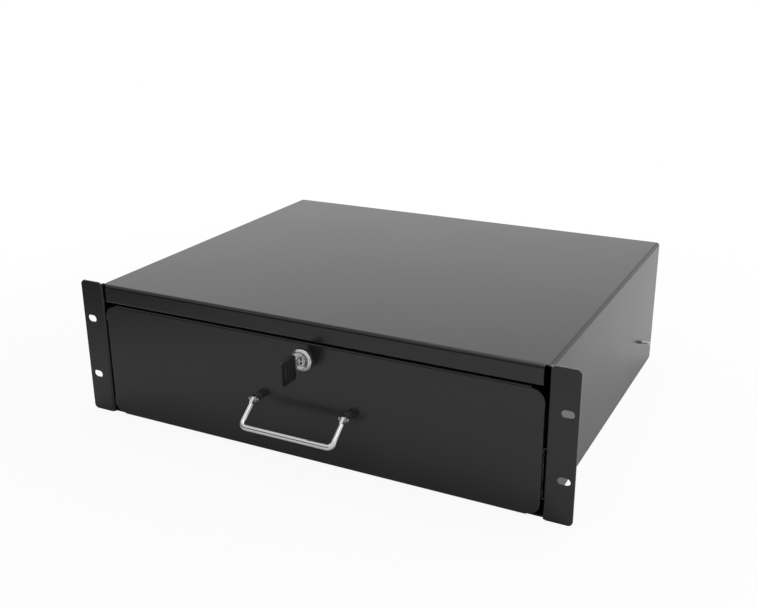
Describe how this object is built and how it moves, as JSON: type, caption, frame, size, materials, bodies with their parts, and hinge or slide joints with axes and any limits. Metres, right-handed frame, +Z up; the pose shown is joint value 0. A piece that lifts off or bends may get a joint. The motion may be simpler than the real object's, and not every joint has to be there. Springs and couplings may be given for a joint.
{
  "type": "rack drawer",
  "caption": "Lockable sliding rack drawer in a black folded steel case with rack ears, telescopic ball slides, a chrome bail handle on dark posts and a cam lock with its key.",
  "frame": {"origin": "middle of the four rack slots, on the rear face of the ears, which lies on the rack rails", "axes": "+X to the right seen from the front, +Y from the front to the back of the case, +Z up"},
  "size_m": [0.4826, 0.3955, 0.1324],
  "materials": {
    "black_powder_coat": "satin black powder coat",
    "zinc_plated_steel": "bright zinc plating",
    "polished_steel": "polished",
    "bright_chrome": "bright chrome plating",
    "black_nickel": "gloss black nickel plating",
    "satin_nickel": "satin nickel plating",
    "wafer_brass": "stamped brass",
    "black_plastic": "fine moulded grain"
  },
  "bodies": {
    "case": {"case_shell": "black_powder_coat", "base_panel": "black_powder_coat", "rear_panel": "black_powder_coat", "case_rail_screws": "zinc_plated_steel", "left_outer_rail": "zinc_plated_steel", "right_outer_rail": "zinc_plated_steel"},
    "drawer": {"drawer_front": "black_powder_coat", "front_nuts": "zinc_plated_steel", "drawer_tray": "black_powder_coat", "tray_rail_rivets": "zinc_plated_steel", "left_inner_rail": "zinc_plated_steel", "right_inner_rail": "zinc_plated_steel", "left_handle_post": "black_nickel", "right_handle_post": "black_nickel", "pivot_pins": "zinc_plated_steel", "post_washers": "zinc_plated_steel", "post_screws": "zinc_plated_steel", "lock_barrel": "satin_nickel", "lock_nut": "satin_nickel"},
    "bail": {"bail": "bright_chrome"},
    "lock_plug": {"lock_plug": "satin_nickel", "lock_wafers": "wafer_brass", "lock_cam": "zinc_plated_steel", "cam_screw": "zinc_plated_steel"},
    "key": {"key_blade": "satin_nickel", "key_bow": "black_plastic"},
    "left_middle_rail": {"left_middle_rail": "zinc_plated_steel"},
    "right_middle_rail": {"right_middle_rail": "zinc_plated_steel"},
    "outer_cages": {"left_outer_cage": "zinc_plated_steel", "right_outer_cage": "zinc_plated_steel", "outer_balls": "polished_steel"},
    "inner_cages": {"left_inner_cage": "zinc_plated_steel", "right_inner_cage": "zinc_plated_steel", "inner_balls": "polished_steel"}
  },
  "joints": [
    {"name": "drawer_slide", "type": "slide", "parent": "case", "child": "drawer", "axis": [0, -1, 0], "range_m": [0, 0.35]},
    {"name": "handle_swing", "type": "hinge", "parent": "drawer", "child": "bail", "pos_m": [0, -0.0105, -0.0127], "axis": [-1, 0, 0], "range_deg": [-64, 37]},
    {"name": "lock_turn", "type": "hinge", "parent": "drawer", "child": "lock_plug", "pos_m": [0, -0.0015, 0.0296], "axis": [0, -1, 0], "range_deg": [0, 90]},
    {"name": "key_pull", "type": "slide", "parent": "lock_plug", "child": "key", "axis": [0, -1, 0], "range_m": [0, 0.028]},
    {"name": "left_middle_rail_travel", "type": "slide", "parent": "case", "child": "left_middle_rail", "axis": [0, -1, 0], "range_m": [0, 0.175]},
    {"name": "right_middle_rail_travel", "type": "slide", "parent": "case", "child": "right_middle_rail", "axis": [0, -1, 0], "range_m": [0, 0.175]},
    {"name": "outer_cages_travel", "type": "slide", "parent": "case", "child": "outer_cages", "axis": [0, -1, 0], "range_m": [0, 0.0875]},
    {"name": "inner_cages_travel", "type": "slide", "parent": "case", "child": "inner_cages", "axis": [0, -1, 0], "range_m": [0, 0.2625]}
  ],
  "couplings": [
    {"joint": "left_middle_rail_travel", "follows": "drawer_slide", "ratio": 0.5},
    {"joint": "right_middle_rail_travel", "follows": "drawer_slide", "ratio": 0.5},
    {"joint": "outer_cages_travel", "follows": "drawer_slide", "ratio": 0.25},
    {"joint": "inner_cages_travel", "follows": "drawer_slide", "ratio": 0.75}
  ]
}
